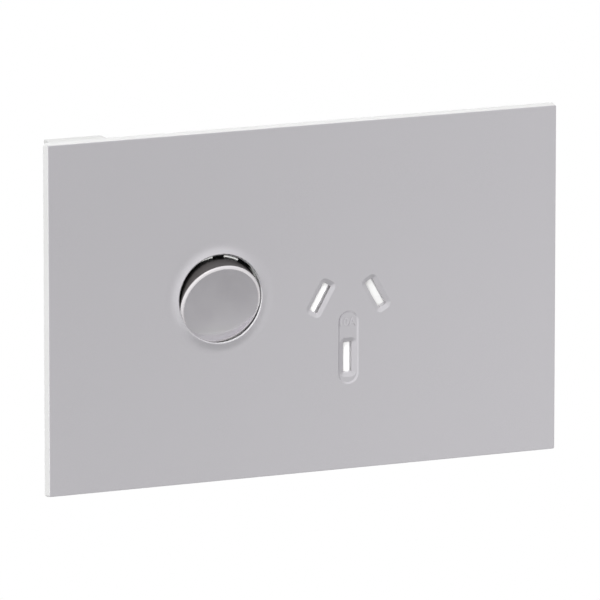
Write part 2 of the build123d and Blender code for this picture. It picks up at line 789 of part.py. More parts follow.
def pin_clip(slot):
    """Sprung clip behind one pin slot: two pinched leaves on a base plate."""
    leaf_front = deck_back + leaf_clear
    pinch_front = deck_back + leaf_pinch_depth
    pinch_back = pinch_front + leaf_pinch_length
    with BuildPart() as clip:
        with BuildSketch(through_slot(slot)):
            for side in (-1, 1):
                with BuildLine():
                    Polyline(
                        (side * leaf_root, tail_front),
                        (side * leaf_pinch, pinch_back),
                        (side * leaf_pinch, pinch_front),
                        (side * leaf_mouth, leaf_front),
                        (side * (leaf_mouth + leaf_thickness), leaf_front),
                        (side * (leaf_pinch + leaf_thickness), pinch_front),
                        (side * (leaf_pinch + leaf_thickness), pinch_back),
                        (side * (leaf_root + leaf_thickness), tail_front),
                        close=True,
                    )
                make_face()
        extrude(amount=leaf_width / 2, both=True)
        with BuildSketch(across_slot(slot, terminal_front)):
            Rectangle(2 * (leaf_root + leaf_thickness), leaf_width)
        extrude(amount=strip_thickness)
    return clip.part


# Active contact: clip with a tail and a riser to the cradle's link
with BuildPart() as active_contact:
    add(pin_clip(active_slot))
    with BuildSketch(facing_front(terminal_front)):
        with Locations((riser_x, rocker_z)):
            Rectangle(active_slot[0] - riser_x, link_height, align=(Align.MIN, Align.CENTER))
    extrude(amount=strip_thickness)
    with BuildSketch(facing_front(terminal_front)):
        with Locations((riser_x, rocker_z)):
            Rectangle(strip_thickness, link_height, align=(Align.MIN, Align.CENTER))
    extrude(amount=terminal_front - strip_front)
write(active_contact.part, "active_contact")


# Neutral contact: clip with a tail up to its terminal
with BuildPart() as neutral_contact:
    add(pin_clip(neutral_slot))
    with BuildSketch(facing_front(terminal_front)):
        with Locations((neutral_terminal_x, neutral_slot[1])):
            Rectangle(link_height, terminal_top_z - neutral_slot[1], align=(Align.CENTER, Align.MIN))
    extrude(amount=strip_thickness)
write(neutral_contact.part, "neutral_contact")


# Earth contact: clip with a tail down to its terminal
with BuildPart() as earth_contact:
    add(pin_clip(earth_slot))
    with BuildSketch(facing_front(terminal_front)):
        with Locations((socket_x, earth_slot[1])):
            Rectangle(link_height, earth_slot[1] - terminal_bottom_z, align=(Align.CENTER, Align.MAX))
    extrude(amount=strip_thickness)
write(earth_contact.part, "earth_contact")


# Tunnel terminals: brass blocks with a wire tunnel and a tapped hole from the back
for terminal_name, (terminal_x, terminal_z, wire_side) in terminals.items():
    with BuildPart() as terminal:
        with BuildSketch(facing_front(floor_front)):
            with Locations((terminal_x, terminal_z)):
                Rectangle(terminal_width, terminal_height)
        extrude(amount=terminal_depth)
        tunnel_start = terminal_z - wire_side * terminal_height / 2
        with BuildSketch(
            Plane(origin=(terminal_x, wire_y, tunnel_start), x_dir=(1, 0, 0), z_dir=(0, 0, wire_side))
        ):
            Circle(wire_r)
        extrude(amount=terminal_height, mode=Mode.SUBTRACT)
        with BuildSketch(facing_front(floor_front)):
            with Locations((terminal_x, terminal_z)):
                Circle(terminal_screw_r + screw_hole_gap)
        extrude(amount=floor_front - wire_y, mode=Mode.SUBTRACT)
    write(terminal.part, terminal_name)


# Terminal screws: one in each terminal, backed out clear of the tunnel
with BuildPart() as terminal_screws:
    terminal_screws_at = [(x, z) for x, z, side in terminals.values()]
    head_seat = floor_front + terminal_screw_lift
    with BuildSketch(facing_front(head_seat)):
        with Locations(terminal_screws_at):
            Circle(terminal_screw_r)
    extrude(amount=head_seat - wire_y - wire_r - terminal_screw_lift)
    with BuildSketch(facing_front(head_seat)):
        with Locations(terminal_screws_at):
            Circle(terminal_screw_head_r)
    extrude(amount=-terminal_screw_head)
    chamfer(terminal_screws.edges().group_by(Axis.Y)[-1], length=terminal_screw_chamfer)
    with BuildSketch(facing_front(head_seat + terminal_screw_head)):
        with Locations(terminal_screws_at):
            Rectangle(2 * terminal_screw_head_r, screw_slot)
    extrude(amount=terminal_screw_head / 2, mode=Mode.SUBTRACT)
write(terminal_screws.part, "terminal_screws")


# Shutter slider: a ramp behind each slot, which a pin pushes aside, and a window beside it
with BuildPart() as shutter_slider:
    with BuildSketch(facing_front(shutter_back)):
        with Locations((shutter_left, shutter_bottom)):
            Rectangle(
                shutter_right - shutter_left, shutter_top - shutter_bottom, align=(Align.MIN, Align.MIN)
            )
    extrude(amount=shutter_plate)
    ramp_half = slot_width / 2 + ramp_margin
    for slot in slots:
        with BuildSketch(through_slot(slot)):
            with BuildLine():
                Polyline(
                    (-ramp_half, shutter_back),
                    (-ramp_half, shutter_back - ramp_nose),
                    (ramp_half - ramp_nose, shutter_front),
                    (ramp_half, shutter_front),
                    (ramp_half, shutter_back),
                    close=True,
                )
            make_face()
        extrude(amount=slot_length / 2 + ramp_margin, both=True)
        window = (slot[0] - shutter_travel, slot[1], slot[2])
        with BuildSketch(across_slot(window, shutter_back)):
            Rectangle(slot_width + shutter_window_gap, slot_length + shutter_window_gap)
        extrude(amount=shutter_height, mode=Mode.SUBTRACT)
write(shutter_slider.part, "shutter_slider")


# Shutter spring: from the slider's edge to its stop on the deck
spring_y = shutter_back - shutter_plate / 2 - shutter_spring_wire
with BuildPart() as shutter_spring:
    free_length = shutter_spring_length - 2 * shutter_spring_wire
    with BuildLine() as shutter_coil:
        Helix(
            free_length / shutter_spring_turns,
            free_length,
            shutter_spring_r - shutter_spring_wire / 2,
            center=(shutter_right + shutter_spring_wire, spring_y, socket_z),
            direction=(1, 0, 0),
        )
    with BuildSketch(Plane(origin=shutter_coil.line @ 0, z_dir=shutter_coil.line % 0)):
        Circle(shutter_spring_wire / 2)
    sweep(path=shutter_coil.line, is_frenet=True)
write(shutter_spring.part, "shutter_spring")
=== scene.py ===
import json
import math

import bmesh
import bpy
from mathutils import Matrix, Vector


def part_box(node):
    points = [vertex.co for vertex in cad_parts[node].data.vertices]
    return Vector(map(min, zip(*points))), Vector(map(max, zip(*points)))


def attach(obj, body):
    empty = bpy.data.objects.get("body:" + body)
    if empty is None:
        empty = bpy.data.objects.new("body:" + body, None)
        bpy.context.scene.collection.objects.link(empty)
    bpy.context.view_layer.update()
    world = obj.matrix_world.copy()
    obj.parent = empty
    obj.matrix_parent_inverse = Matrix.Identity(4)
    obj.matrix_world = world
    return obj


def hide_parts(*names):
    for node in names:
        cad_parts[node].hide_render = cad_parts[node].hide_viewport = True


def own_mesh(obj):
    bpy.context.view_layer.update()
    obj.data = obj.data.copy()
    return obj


# Switched flush outlet: finishes, moulded marks, springs and studio. Metres, in the frame of the solids.

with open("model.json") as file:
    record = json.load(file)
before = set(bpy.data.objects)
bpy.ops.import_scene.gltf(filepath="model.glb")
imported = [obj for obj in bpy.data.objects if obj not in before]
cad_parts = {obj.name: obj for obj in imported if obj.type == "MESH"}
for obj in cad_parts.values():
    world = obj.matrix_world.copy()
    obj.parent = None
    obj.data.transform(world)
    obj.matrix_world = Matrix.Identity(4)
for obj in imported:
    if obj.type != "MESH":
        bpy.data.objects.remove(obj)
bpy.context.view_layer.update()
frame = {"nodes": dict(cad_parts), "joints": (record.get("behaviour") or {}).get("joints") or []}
nodes = frame["nodes"]
joints = {joint["name"]: joint for joint in frame["joints"]}
rocker_pivot = Vector(joints["rocker_tilt"]["pos_m"])
rocker_axis = Vector(joints["plunger_slide"]["axis"])
RIGHT = Vector((1, 0, 0))
FRONT_TO_BACK = Vector((0, 1, 0))
UP = Vector((0, 0, 1))
MM = 0.001

# Camera, fitted to the four corners of the plate's front
CAMERA_AZIMUTH = math.radians(23.871)  # to the left of straight on
CAMERA_ELEVATION = math.radians(11.548)
CAMERA_DISTANCE = 2069.0 * MM
CAMERA_ASIDE = -1.1495 * MM
CAMERA_ABOVE = -0.0878 * MM
CAMERA_LENS = 549.99
SENSOR = 36.0

# Plate
PLATE_FRONT = -6.0 * MM
PLATE_BACK = -4.0 * MM
PLATE_HALF_WIDTH = 62.5 * MM
PLATE_HALF_HEIGHT = 40.0 * MM
COAT_EDGE = 0.01 * MM  # how far inside the outline the silver coat ends
HOLE_COAT_EDGE = 10.15 * MM  # radius at which the coat ends in the rocker's hole
COAT_FLAKE = 0.22 * MM
COAT_METALLIC = 0.9

# Gap round the rocker, through which the frame behind the plate shows, painted black as painted shade in its
# upper part
GAP_RADIUS = 14.0 * MM
GAP_WHITE_UP_TO = 4.9 * MM  # height over the pivot up to which the frame in the gap stays white
# height from which the frame in the gap is painted black, a painted shade
GAP_PAINTED_SHADE_FROM = 5.5 * MM

# Earth recess and its rating
PAD_FLOOR = PLATE_FRONT + 0.3 * MM
RATING_PLACE = (10.5 * MM, PAD_FLOOR, -6.12 * MM)
RATING_HEIGHT = 1.8 * MM
RATING_LIFT = 0.16 * MM

# Letters on the housing's back
TERMINAL_LETTERS = {
    "A": "active_terminal", "L": "loop_terminal", "N": "neutral_terminal", "E": "earth_terminal",
}
LETTER_HEIGHT = 3.2 * MM
LETTER_LIFT = 0.45 * MM
LETTER_AWAY = 6.0 * MM  # screw to letter
CAPITAL_SHARE = 0.69  # height of a capital for a text size of 1

# Rocker's cap
PLATED_FROM = 4.3 * MM  # pivot to where the plating starts, along the cap's axis
RIM_FROM = 9.08 * MM  # axis to the rounded rim
NEUTRAL_UP_TO = -9.5 * MM  # height over the pivot to which the face's lower edge is neutral, a painted tint that takes the hue out of the hole wall's reflection there
COOL_FROM = -6.0 * MM  # height from which the face is cool
SKIRT_GREY_UP_TO = -3.0 * MM  # height to which the skirt is grey all over, free of painted shade
SKIRT_PAINTED_SHADE_FROM = 1.0 * MM  # height from which it is grey only in the open, and black with painted shade where crowded
SKIRT_REACH = 3.0 * MM  # how near the neighbours are that crowd the skirt into painted shade
SKIRT_PAINTED_SHADE_AT = 0.5  # openness at which the skirt's painted shade is black
SKIRT_GREY_AT = 0.58

# Springs
ROCKER_SPRING_WIRE = 0.45 * MM
ROCKER_SPRING_TURNS = 6
SHUTTER_SPRING_WIRE = 0.35 * MM
SHUTTER_SPRING_TURNS = 7
STEPS_PER_TURN = 28

# Stage
FLOOR_Z = -0.25
FLOOR_RADIUS = 0.75
FLOOR_FADE_FROM = 0.45
FLOOR_WHITE = 0.7
AMBIENT = 0.3

# Places of a mix node's two inputs and its output, by the kind of value that it mixes
MIX_SOCKETS = {"FLOAT": (2, 3, 0), "RGBA": (6, 7, 2)}


def linear(value):
    """Linear light of one sRGB channel, 0 to 255."""
    share = value / 255.0
    return share / 12.92 if share <= 0.04045 else ((share + 0.055) / 1.055) ** 2.4


def colour(red, green, blue):
    """Shader colour of sRGB channels, 0 to 255."""
    return (linear(red), linear(green), linear(blue), 1.0)


class Finish:
    """One procedural material: a principled shader with helpers for the nodes that feed it."""

    def __init__(self, name, base, roughness, metallic=0.0):
        self.material = bpy.data.materials.new(name)
        self.material.use_nodes = True
        self.tree = self.material.node_tree
        self.shader = self.tree.nodes["Principled BSDF"]
        self.shader.inputs["Base Color"].default_value = base
        self.shader.inputs["Roughness"].default_value = roughness
        self.shader.inputs["Metallic"].default_value = metallic
        self.place = self.add("ShaderNodeTexCoord").outputs["Object"]

    def add(self, kind, **values):
        node = self.tree.nodes.new(kind)
        for key, value in values.items():
            setattr(node, key, value)
        return node

    def link(self, source, target):
        self.tree.links.new(source, target)

    def feed(self, value, target):
        """Links a socket, or sets a constant."""
        if isinstance(value, bpy.types.NodeSocket):
            self.link(value, target)
        else:
            target.default_value = value

    def math(self, operation, first, second=0.0):
        node = self.add("ShaderNodeMath", operation=operation)
        self.feed(first, node.inputs[0])
        self.feed(second, node.inputs[1])
        return node.outputs[0]

    def vector(self, operation, first, second=(0, 0, 0)):
        node = self.add("ShaderNodeVectorMath", operation=operation)
        self.feed(first, node.inputs[0])
        self.feed(second, node.inputs[1])
        return node.outputs

    def axes(self):
        node = self.add("ShaderNodeSeparateXYZ")
        self.link(self.place, node.inputs["Vector"])
        return node.outputs

    def along(self, origin, direction):
        """Distance from origin along a direction."""
        offset = self.vector("SUBTRACT", self.place, origin)["Vector"]
        return self.vector("DOT_PRODUCT", offset, direction)["Value"]

    def beside(self, origin, direction):
        """Distance from the line through origin along a direction."""
        offset = self.vector("SUBTRACT", self.place, origin)["Vector"]
        product = self.vector("CROSS_PRODUCT", offset, direction)["Vector"]
        return self.vector("LENGTH", product)["Value"]

    def openness(self, distance):
        """0 where other surfaces crowd in within this distance, 1 in the open."""
        node = self.add("ShaderNodeAmbientOcclusion", samples=8)
        node.inputs["Distance"].default_value = distance
        return node.outputs["AO"]

    def stretched(self, scale):
        """Object coordinates scaled along each axis, for grain that runs one way."""
        mapping = self.add("ShaderNodeMapping")
        mapping.inputs["Scale"].default_value = scale
        self.link(self.place, mapping.inputs["Vector"])
        return mapping.outputs["Vector"]

    def noise(self, size, detail=2.0, vector=None):
        """Noise whose features are about this many metres across."""
        node = self.add("ShaderNodeTexNoise")
        node.inputs["Scale"].default_value = 1.0 / size
        node.inputs["Detail"].default_value = detail
        self.link(vector or self.place, node.inputs["Vector"])
        return node.outputs["Fac"]

    def mottle(self, size, detail=2.0):
        """Noise that goes all the way from 0 to 1."""
        return self.span(self.noise(size, detail), 0.0, 1.0)

    def cells(self, size):
        """Crystal cells about this many metres across."""
        node = self.add("ShaderNodeTexVoronoi")
        node.inputs["Scale"].default_value = 1.0 / size
        self.link(self.place, node.inputs["Vector"])
        return node.outputs["Distance"]

    def span(self, source, low, high, start=0.3, end=0.7):
        """Maps start to low and end to high; the defaults are a texture's middle range."""
        node = self.add("ShaderNodeMapRange")
        node.inputs["From Min"].default_value = start
        node.inputs["From Max"].default_value = end
        node.inputs["To Min"].default_value = low
        node.inputs["To Max"].default_value = high
        self.link(source, node.inputs["Value"])
        return node.outputs["Result"]

    def fall(self, source, start, end):
        """1 up to start, then down to 0 at end."""
        return self.span(source, 1.0, 0.0, start, end)

    def mix(self, kind, factor, first, second):
        first_place, second_place, result = MIX_SOCKETS[kind]
        node = self.add("ShaderNodeMix", data_type=kind)
        self.link(factor, node.inputs["Factor"])
        self.feed(first, node.inputs[first_place])
        self.feed(second, node.inputs[second_place])
        return node.outputs[result]

    def between(self, factor, first, second):
        """Colour that goes from first to second; each is a colour or a socket."""
        return self.mix("RGBA", factor, first, second)

    def blend(self, factor, first, second):
        """Number that goes from first to second; each is a number or a socket."""
        return self.mix("FLOAT", factor, first, second)

    def tint(self, factor, first, second):
        self.link(self.between(factor, first, second), self.shader.inputs["Base Color"])

    def rough(self, factor):
        self.link(factor, self.shader.inputs["Roughness"])

    def metal(self, factor):
        self.link(factor, self.shader.inputs["Metallic"])

    def bump(self, height, depth):
        """Raises the surface by this many metres where height is 1."""
        node = self.add("ShaderNodeBump")
        node.inputs["Distance"].default_value = depth
        self.link(height, node.inputs["Height"])
        self.link(node.outputs["Normal"], self.shader.inputs["Normal"])


def plate_finish():
    """Satin silver coat on the front of a white moulding."""
    finish = Finish("silver_coat_on_white", colour(210, 208, 212), 0.38)
    axes = finish.axes()
    from_middle = finish.math("ABSOLUTE", axes["X"])
    from_level = finish.math("ABSOLUTE", axes["Z"])
    within_x = finish.math("LESS_THAN", from_middle, PLATE_HALF_WIDTH - COAT_EDGE)
    within_z = finish.math("LESS_THAN", from_level, PLATE_HALF_HEIGHT - COAT_EDGE)
    before_back = finish.math("LESS_THAN", axes["Y"], PLATE_BACK - COAT_EDGE)
    coated = finish.math("MULTIPLY", finish.math("MULTIPLY", within_x, within_z), before_back)
    from_hole = finish.beside(rocker_pivot, FRONT_TO_BACK)
    out_of_hole = finish.math("GREATER_THAN", from_hole, HOLE_COAT_EDGE)
    # Fine metal flake and slow mottling in the coat
    flake = finish.mottle(COAT_FLAKE)
    cloud = finish.mottle(18 * MM, detail=3.0)
    coat_flake = finish.between(flake, colour(206, 204, 208), colour(211, 209, 213))
    coat = finish.between(cloud, coat_flake, colour(209, 207, 211))
    white = finish.between(cloud, colour(219, 219, 218), colour(223, 223, 223))
    hole_wall = colour(208, 207, 209)
    finish.tint(coated, white, finish.between(out_of_hole, hole_wall, coat))
    silvered = finish.math("MULTIPLY", coated, out_of_hole)
    finish.metal(finish.math("MULTIPLY", silvered, COAT_METALLIC))
    finish.rough(finish.span(flake, 0.34, 0.42, 0.0, 1.0))
    finish.bump(finish.noise(0.35 * MM, detail=3.0), 0.0015 * MM)
    return finish


def rating_finish_painted_highlight():
    """Coat of the raised rating, painted a little brighter than the plate's as a painted highlight on the
    letters.
    """
    low, high = colour(213, 211, 215), colour(219, 217, 221)
    finish = Finish("rating_silver_painted_highlight", low, 0.36, metallic=COAT_METALLIC)
    finish.tint(finish.mottle(COAT_FLAKE), low, high)
    finish.rough(finish.span(finish.noise(0.5 * MM), 0.32, 0.4))
    return finish


def cap_finish_painted_shade():
    """Bright plated face with a polished rim, on a dark grey moulded skirt that has painted shade, black,
    deep in the gap at the top.
    """
    finish = Finish("plated_cap_painted_shade", colour(216, 214, 216), 0.16, metallic=1.0)
    plated = finish.math("GREATER_THAN", finish.along(rocker_pivot, rocker_axis), PLATED_FROM)
    outer = finish.math("GREATER_THAN", finish.beside(rocker_pivot, rocker_axis), RIM_FROM)
    rim = finish.math("MULTIPLY", plated, outer)
    height = finish.along(rocker_pivot, UP)
    haze = finish.mottle(6 * MM, detail=4.0)
    grain = finish.noise(0.5 * MM)
    # Plating, cool, and neutral at the face's lower edge as a painted tint against the hue of the hole
    # wall's reflection there
    cool = finish.between(haze, colour(241, 238, 243), colour(246, 243, 248))
    neutral = colour(242, 241, 242)
    face = finish.between(finish.fall(height, NEUTRAL_UP_TO, COOL_FROM), cool, neutral)
    bright = finish.between(haze, colour(206, 203, 205), colour(211, 208, 210))
    # Skirt, with painted shade: black where it is crowded deep in the gap at the top
    clear_of_painted_shade = finish.span(finish.openness(SKIRT_REACH), 0.0, 1.0, SKIRT_PAINTED_SHADE_AT, SKIRT_GREY_AT)
    below_painted_shade = finish.fall(height, SKIRT_GREY_UP_TO, SKIRT_PAINTED_SHADE_FROM)
    grey = finish.between(haze, colour(72, 69, 69), colour(78, 75, 75))
    skirt = finish.between(finish.math("MAXIMUM", clear_of_painted_shade, below_painted_shade), colour(8, 8, 8), grey)
    finish.tint(plated, skirt, finish.between(rim, face, bright))
    rim_metallic = 0.4
    finish.metal(finish.blend(rim, plated, rim_metallic))
    skirt_roughness = finish.span(grain, 0.34, 0.44)
    plating_roughness = finish.span(haze, 0.2, 0.23, 0.0, 1.0)
    finish.rough(finish.blend(plated, skirt_roughness, plating_roughness))
    smooth = 0.5  # an even height, so that the plating has no grain
    finish.bump(finish.blend(plated, grain, smooth), 0.001 * MM)
    return finish


def plastic_finish(name, low, high, roughness, grain, depth):
    """Moulded plastic with slow flow marks and a fine eroded grain."""
    finish = Finish(name, low, roughness)
    finish.tint(finish.mottle(9 * MM, detail=3.0), low, high)
    finish.rough(finish.span(finish.noise(grain), roughness - 0.05, roughness + 0.06))
    finish.bump(finish.noise(grain, detail=3.0), depth)
    return finish


def frame_finish_painted_shade():
    """White moulding, painted black as painted shade where it shows through the upper part of the gap round
    the rocker.
    """
    finish = plastic_finish(
        "white_moulding_painted_shade", colour(219, 219, 218), colour(224, 224, 223),
        roughness=0.34, grain=0.3 * MM, depth=0.003 * MM,
    )
    white = finish.shader.inputs["Base Color"].links[0].from_socket
    clear = finish.math("GREATER_THAN", finish.beside(rocker_pivot, FRONT_TO_BACK), GAP_RADIUS)
    below_painted_shade = finish.fall(finish.along(rocker_pivot, UP), GAP_WHITE_UP_TO, GAP_PAINTED_SHADE_FROM)
    shown = finish.math("MAXIMUM", below_painted_shade, clear)
    # painted shade: black in the upper part of the gap, the moulding's white elsewhere
    finish.tint(shown, colour(12, 12, 12), white)
    return finish


def rubber_finish():
    """Dull black rubber with a fine tooth."""
    finish = Finish("soft_black_rubber", colour(10, 10, 10), 0.8)
    finish.tint(finish.mottle(0.6 * MM, detail=3.0), colour(6, 6, 6), colour(16, 16, 16))
    finish.rough(finish.span(finish.noise(0.3 * MM), 0.72, 0.9))
    finish.shader.inputs["Specular IOR Level"].default_value = 0.2
    finish.bump(finish.noise(0.12 * MM), 0.004 * MM)
    return finish


def strip_finish(name, low, high, roughness, along):
    """Rolled or drawn metal, with lines along one axis and slow tarnish."""
    finish = Finish(name, low, roughness, metallic=1.0)
    fine, coarse = 1.0, 0.06
    scale = [coarse if axis == along else fine for axis in "XYZ"]
    lines = finish.noise(0.12 * MM, vector=finish.stretched(scale))
    finish.tint(finish.mottle(3.5 * MM, detail=4.0), low, high)
    finish.rough(finish.span(lines, roughness - 0.08, roughness + 0.12))
    finish.bump(lines, 0.002 * MM)
    return finish


def zinc_finish():
    """Zinc plating with its small crystals."""
    finish = Finish("zinc_plated_steel", colour(176, 178, 180), 0.34, metallic=1.0)
    finish.tint(finish.cells(0.5 * MM), colour(186, 188, 188), colour(150, 154, 160))
    finish.rough(finish.span(finish.noise(0.4 * MM, detail=3.0), 0.26, 0.44))
    finish.bump(finish.noise(0.15 * MM), 0.003 * MM)
    return finish


def dress(finish, *names):
    """Gives CAD nodes this finish."""
    for name in names:
        slots = nodes[name].data.materials
        slots.clear()
        slots.append(finish.material)


silver = plate_finish()
nylon = plastic_finish(
    "white_nylon", colour(246, 246, 245), colour(251, 251, 250),
    roughness=0.4, grain=0.4 * MM, depth=0.003 * MM,
)
housing_white = plastic_finish(
    "housing_moulding", colour(222, 222, 220), colour(229, 229, 227),
    roughness=0.52, grain=0.25 * MM, depth=0.01 * MM,
)
brass = strip_finish(
    "rolled_brass", colour(206, 170, 98), colour(190, 150, 84), roughness=0.3, along="Z",
)
tip_silver = strip_finish(
    "silver_rivet", colour(214, 213, 208), colour(196, 194, 190), roughness=0.24, along="X",
)
spring_wire = strip_finish(
    "drawn_spring_wire", colour(150, 150, 152), colour(128, 128, 132), roughness=0.3, along="X",
)

dress(silver, "cover_plate")
dress(cap_finish_painted_shade(), "rocker_cap")
dress(nylon, "rocker_carrier", "rocker_plunger", "shutter_slider")
dress(rubber_finish(), "rocker_buffers")
dress(frame_finish_painted_shade(), "base_frame")
dress(housing_white, "rear_housing")
dress(zinc_finish(), "housing_screws", "terminal_screws")
dress(
    brass, "moving_contact", "contact_cradle", "fixed_contact", "active_contact", "neutral_contact",
    "earth_contact", "active_terminal", "loop_terminal", "neutral_terminal", "earth_terminal",
)
dress(tip_silver, "moving_contact_tip", "fixed_contact_tip")


def add_piece(name, mesh, finish, body):
    """Adds a mesh, given in the frame of the solids, as a piece of a body."""
    mesh.materials.clear()
    mesh.materials.append(finish.material)
    piece = bpy.data.objects.new(name, mesh)
    bpy.context.scene.collection.objects.link(piece)
    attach(piece, body)
    return piece


def baked(name, curve):
    """Mesh of a curve or text, after which the curve goes."""
    holder = bpy.data.objects.new(name, curve)
    bpy.context.scene.collection.objects.link(holder)
    settled = holder.evaluated_get(bpy.context.evaluated_depsgraph_get())
    mesh = bpy.data.meshes.new_from_object(settled)
    mesh.name = name
    bpy.data.objects.remove(holder)
    bpy.data.curves.remove(curve)
    return mesh


def raised_text(name, words, height, lift, place, turn):
    """Moulded letters that stand proud of a face, turned from the XY plane onto it."""
    curve = bpy.data.curves.new(name, "FONT")
    curve.body = words
    curve.align_x = "CENTER"
    curve.align_y = "CENTER"
    curve.size = height / CAPITAL_SHARE
    curve.bevel_depth = lift / 3  # the outer third is rounded
    curve.extrude = lift - curve.bevel_depth
    curve.bevel_resolution = 2
    mesh = baked(name, curve)
    mesh.transform(Matrix.Translation(place) @ turn)
    return mesh


to_front = Matrix.Rotation(math.radians(90), 4, "X")
rating = raised_text("rating_relief", "10A", RATING_HEIGHT, RATING_LIFT, RATING_PLACE, to_front)
add_piece("rating_relief", rating, rating_finish_painted_highlight(), "outlet")

# Letters that tell the terminals apart, on the back of the housing beside each screw
to_back = Matrix.Rotation(math.radians(180), 4, "Z") @ to_front
housing_low, housing_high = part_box("rear_housing")
housing_middle = (housing_low + housing_high) / 2
for letter, terminal in TERMINAL_LETTERS.items():
    terminal_low, terminal_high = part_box(terminal)
    middle = (terminal_low + terminal_high) / 2
    inward = math.copysign(LETTER_AWAY, housing_middle.z - middle.z)
    place = (middle.x, housing_high.y, middle.z + inward)
    mark = raised_text("mark_" + letter, letter, LETTER_HEIGHT, LETTER_LIFT, place, to_back)
    add_piece("mark_" + letter, mark, housing_white, "outlet")


# Springs with closed ends
def coil(name, start, along, across, length, radius, wire, turns):
    """Round-wire compression spring from start, with one closed turn at each end."""
    side = along.cross(across)
    steps = STEPS_PER_TURN * turns
    closed = 1.0 / turns
    open_length = length - 3 * wire  # the closed ends take three wires
    points = []
    for step in range(steps + 1):
        share = step / steps
        open_share = min(max((share - closed) / (1 - 2 * closed), 0.0), 1.0)
        end_rise = wire * (min(share, closed) + max(share - 1 + closed, 0.0)) / closed
        rise = wire / 2 + end_rise + open_length * open_share
        angle = 2 * math.pi * turns * share
        points.append(start + along * rise + (across * math.cos(angle) + side * math.sin(angle)) * radius)
    curve = bpy.data.curves.new(name, "CURVE")
    curve.dimensions = "3D"
    curve.bevel_depth = wire / 2
    curve.bevel_resolution = 3
    curve.use_fill_caps = True
    spline = curve.splines.new("POLY")
    spline.points.add(len(points) - 1)
    for point, place in zip(spline.points, points):
        point.co = (*place, 1.0)
    return baked(name, curve)


def reach(node, origin, along):
    """How far a node reaches along a direction, and its largest distance from that line."""
    offsets = [vertex.co - origin for vertex in nodes[node].data.vertices]
    shares = [offset.dot(along) for offset in offsets]
    radius = max((offset - along * share).length for offset, share in zip(offsets, shares))
    return min(shares), max(shares), radius


def add_spring(node, origin, along, body, wire, turns):
    """Coil in the place of a node, which it hides."""
    name = node + "_coil"
    low, high, radius = reach(node, origin, along)
    low, high = low - wire / 2, high + wire / 2
    across = RIGHT if abs(along.x) < 0.5 else UP
    start = origin + along * low
    mesh = coil(name, start, along, across, high - low, radius - wire / 2, wire, turns)
    piece = add_piece(name, mesh, spring_wire, body)
    for polygon in mesh.polygons:
        polygon.use_smooth = True
    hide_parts(node)
    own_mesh(piece)


add_spring(
    "rocker_spring", rocker_pivot, rocker_axis, "rocker",
    ROCKER_SPRING_WIRE, ROCKER_SPRING_TURNS,
)
spring_low, spring_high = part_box("shutter_spring")
spring_middle = (spring_low + spring_high) / 2
add_spring(
    "shutter_spring", spring_middle, RIGHT, "outlet",
    SHUTTER_SPRING_WIRE, SHUTTER_SPRING_TURNS,
)


# Stage: pale floor well below the outlet, graded white surroundings, soft lamps
def build_floor():
    """Pale disc that fades out at its edge, and that is clear from below."""
    mesh = bpy.data.meshes.new("floor")
    disc = bmesh.new()
    bmesh.ops.create_circle(disc, cap_ends=True, radius=FLOOR_RADIUS, segments=96)
    disc.to_mesh(mesh)
    disc.free()
    floor = bpy.data.objects.new("floor", mesh)
    floor.location = (0, 0, FLOOR_Z)
    bpy.context.scene.collection.objects.link(floor)
    finish = Finish("pale_floor", (FLOOR_WHITE, FLOOR_WHITE, FLOOR_WHITE, 1), 0.9)
    radius = finish.beside((0, 0, 0), UP)
    fade = finish.fall(radius, FLOOR_FADE_FROM, FLOOR_RADIUS)
    from_below = finish.add("ShaderNodeNewGeometry").outputs["Backfacing"]
    from_above = finish.math("SUBTRACT", 1.0, from_below)
    finish.link(finish.math("MULTIPLY", fade, from_above), finish.shader.inputs["Alpha"])
    finish.shader.inputs["Specular IOR Level"].default_value = 0.0
    mesh.materials.append(finish.material)


def slope_glow(finish):
    """Brighter to the right and downwards."""
    middle = 0.728
    slope = (1.4, -2.1, 0)  # per metre
    return finish.math("ADD", finish.along((0, 0, 0), slope), middle)


def step_glow(finish):
    """Brighter away from the outlet, in one soft step."""
    dim, bright = 0.353, 0.486
    far, near = -0.055, 0.06  # where the step lies on the card
    share = finish.fall(finish.axes()["Y"], far, near)
    share.node.interpolation_type = "SMOOTHSTEP"
    return finish.span(share, dim, bright, 0.0, 1.0)


def build_card(name, place, turn, half_size, soft_edge, glow):
    """Card that only metal shows. It glows by a function of its finish, and fades out at its edges."""
    mesh = bpy.data.meshes.new(name)
    sheet = bmesh.new()
    bmesh.ops.create_grid(sheet, x_segments=1, y_segments=1, size=1.0)
    sheet.to_mesh(mesh)
    sheet.free()
    mesh.transform(Matrix.Diagonal((*half_size, 1, 1)))
    card = bpy.data.objects.new(name, mesh)
    card.location = place
    card.rotation_euler = (math.radians(turn), 0, 0)
    bpy.context.scene.collection.objects.link(card)
    finish = Finish(name, (0, 0, 0, 1), 1.0)
    shares = []
    for axis, half in zip("XY", half_size):
        from_middle = finish.math("ABSOLUTE", finish.axes()[axis])
        shares.append(finish.fall(from_middle, half - soft_edge, half))
    finish.shader.inputs["Specular IOR Level"].default_value = 0.0
    finish.shader.inputs["Emission Color"].default_value = (1, 1, 1, 1)
    finish.link(glow(finish), finish.shader.inputs["Emission Strength"])
    finish.link(finish.math("MULTIPLY", *shares), finish.shader.inputs["Alpha"])
    mesh.materials.append(finish.material)
    for hidden in ("camera", "diffuse", "transmission", "shadow", "volume_scatter"):
        setattr(card, "visible_" + hidden, False)


